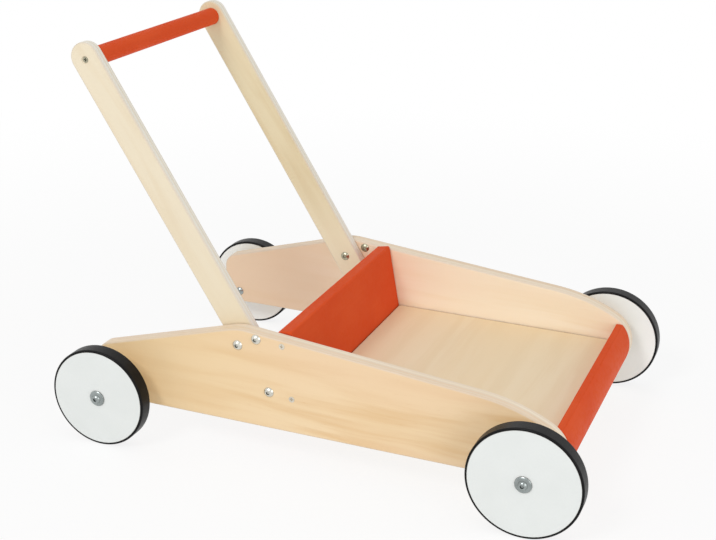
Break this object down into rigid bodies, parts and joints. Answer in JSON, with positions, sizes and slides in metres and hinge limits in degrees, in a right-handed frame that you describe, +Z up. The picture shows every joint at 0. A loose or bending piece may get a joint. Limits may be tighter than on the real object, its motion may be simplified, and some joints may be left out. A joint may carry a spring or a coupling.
{
  "type": "baby push walker",
  "caption": "Wooden push walker with plywood side panels, an open load tray, free-rolling wheels with rubber tyres and a leaning bar handle.",
  "frame": {"origin": "on the ground, in the middle of the walker's length and width", "axes": "+X forward, the way the walker rolls away from the handle; +Y to the left; +Z up"},
  "size_m": [0.6212, 0.4218, 0.4535],
  "materials": {
    "panel_wood": "clear satin lacquer",
    "floor_wood": "clear satin lacquer",
    "arm_wood": "clear satin lacquer",
    "orange_paint": "satin orange paint",
    "white_paint": "satin white paint",
    "spacer_wood": "bare turned wood",
    "zinc_steel": "bright zinc",
    "tyre_rubber": "satin black rubber",
    "bush_plastic": "natural"
  },
  "bodies": {
    "chassis": {"right_side_panel": "panel_wood", "left_side_panel": "panel_wood", "floor_board": "floor_wood", "right_handle_arm": "arm_wood", "left_handle_arm": "arm_wood", "partition_board": "orange_paint", "front_board": "orange_paint", "handle_bar": "orange_paint", "partition_screws": "zinc_steel", "front_board_screws": "zinc_steel", "handle_bar_screws": "zinc_steel", "arm_pivot_bolts": "zinc_steel", "arm_pivot_nuts": "zinc_steel", "arm_setting_bolts": "zinc_steel", "arm_setting_nuts": "zinc_steel", "spare_setting_bolts": "zinc_steel", "spare_setting_nuts": "zinc_steel", "front_right_axle_bolt": "zinc_steel", "front_left_axle_bolt": "zinc_steel", "rear_right_axle_bolt": "zinc_steel", "rear_left_axle_bolt": "zinc_steel", "front_right_hub_washer": "zinc_steel", "front_left_hub_washer": "zinc_steel", "rear_right_hub_washer": "zinc_steel", "rear_left_hub_washer": "zinc_steel", "front_right_axle_nut": "zinc_steel", "front_left_axle_nut": "zinc_steel", "rear_right_axle_nut": "zinc_steel", "rear_left_axle_nut": "zinc_steel", "front_right_spacer": "spacer_wood", "front_left_spacer": "spacer_wood", "rear_right_spacer": "spacer_wood", "rear_left_spacer": "spacer_wood"},
    "front_right_wheel": {"front_right_disc": "white_paint", "front_right_tyre": "tyre_rubber", "front_right_bush": "bush_plastic"},
    "front_left_wheel": {"front_left_disc": "white_paint", "front_left_tyre": "tyre_rubber", "front_left_bush": "bush_plastic"},
    "rear_right_wheel": {"rear_right_disc": "white_paint", "rear_right_tyre": "tyre_rubber", "rear_right_bush": "bush_plastic"},
    "rear_left_wheel": {"rear_left_disc": "white_paint", "rear_left_tyre": "tyre_rubber", "rear_left_bush": "bush_plastic"}
  },
  "joints": [
    {"name": "front_right_wheel_spin", "type": "hinge", "parent": "chassis", "child": "front_right_wheel", "pos_m": [0.2481, -0.1965, 0.0625], "axis": [0, 1, 0], "continuous": true},
    {"name": "front_left_wheel_spin", "type": "hinge", "parent": "chassis", "child": "front_left_wheel", "pos_m": [0.2481, 0.1965, 0.0625], "axis": [0, 1, 0], "continuous": true},
    {"name": "rear_right_wheel_spin", "type": "hinge", "parent": "chassis", "child": "rear_right_wheel", "pos_m": [-0.2519, -0.1965, 0.0587], "axis": [0, 1, 0], "continuous": true},
    {"name": "rear_left_wheel_spin", "type": "hinge", "parent": "chassis", "child": "rear_left_wheel", "pos_m": [-0.2519, 0.1965, 0.0587], "axis": [0, 1, 0], "continuous": true}
  ]
}
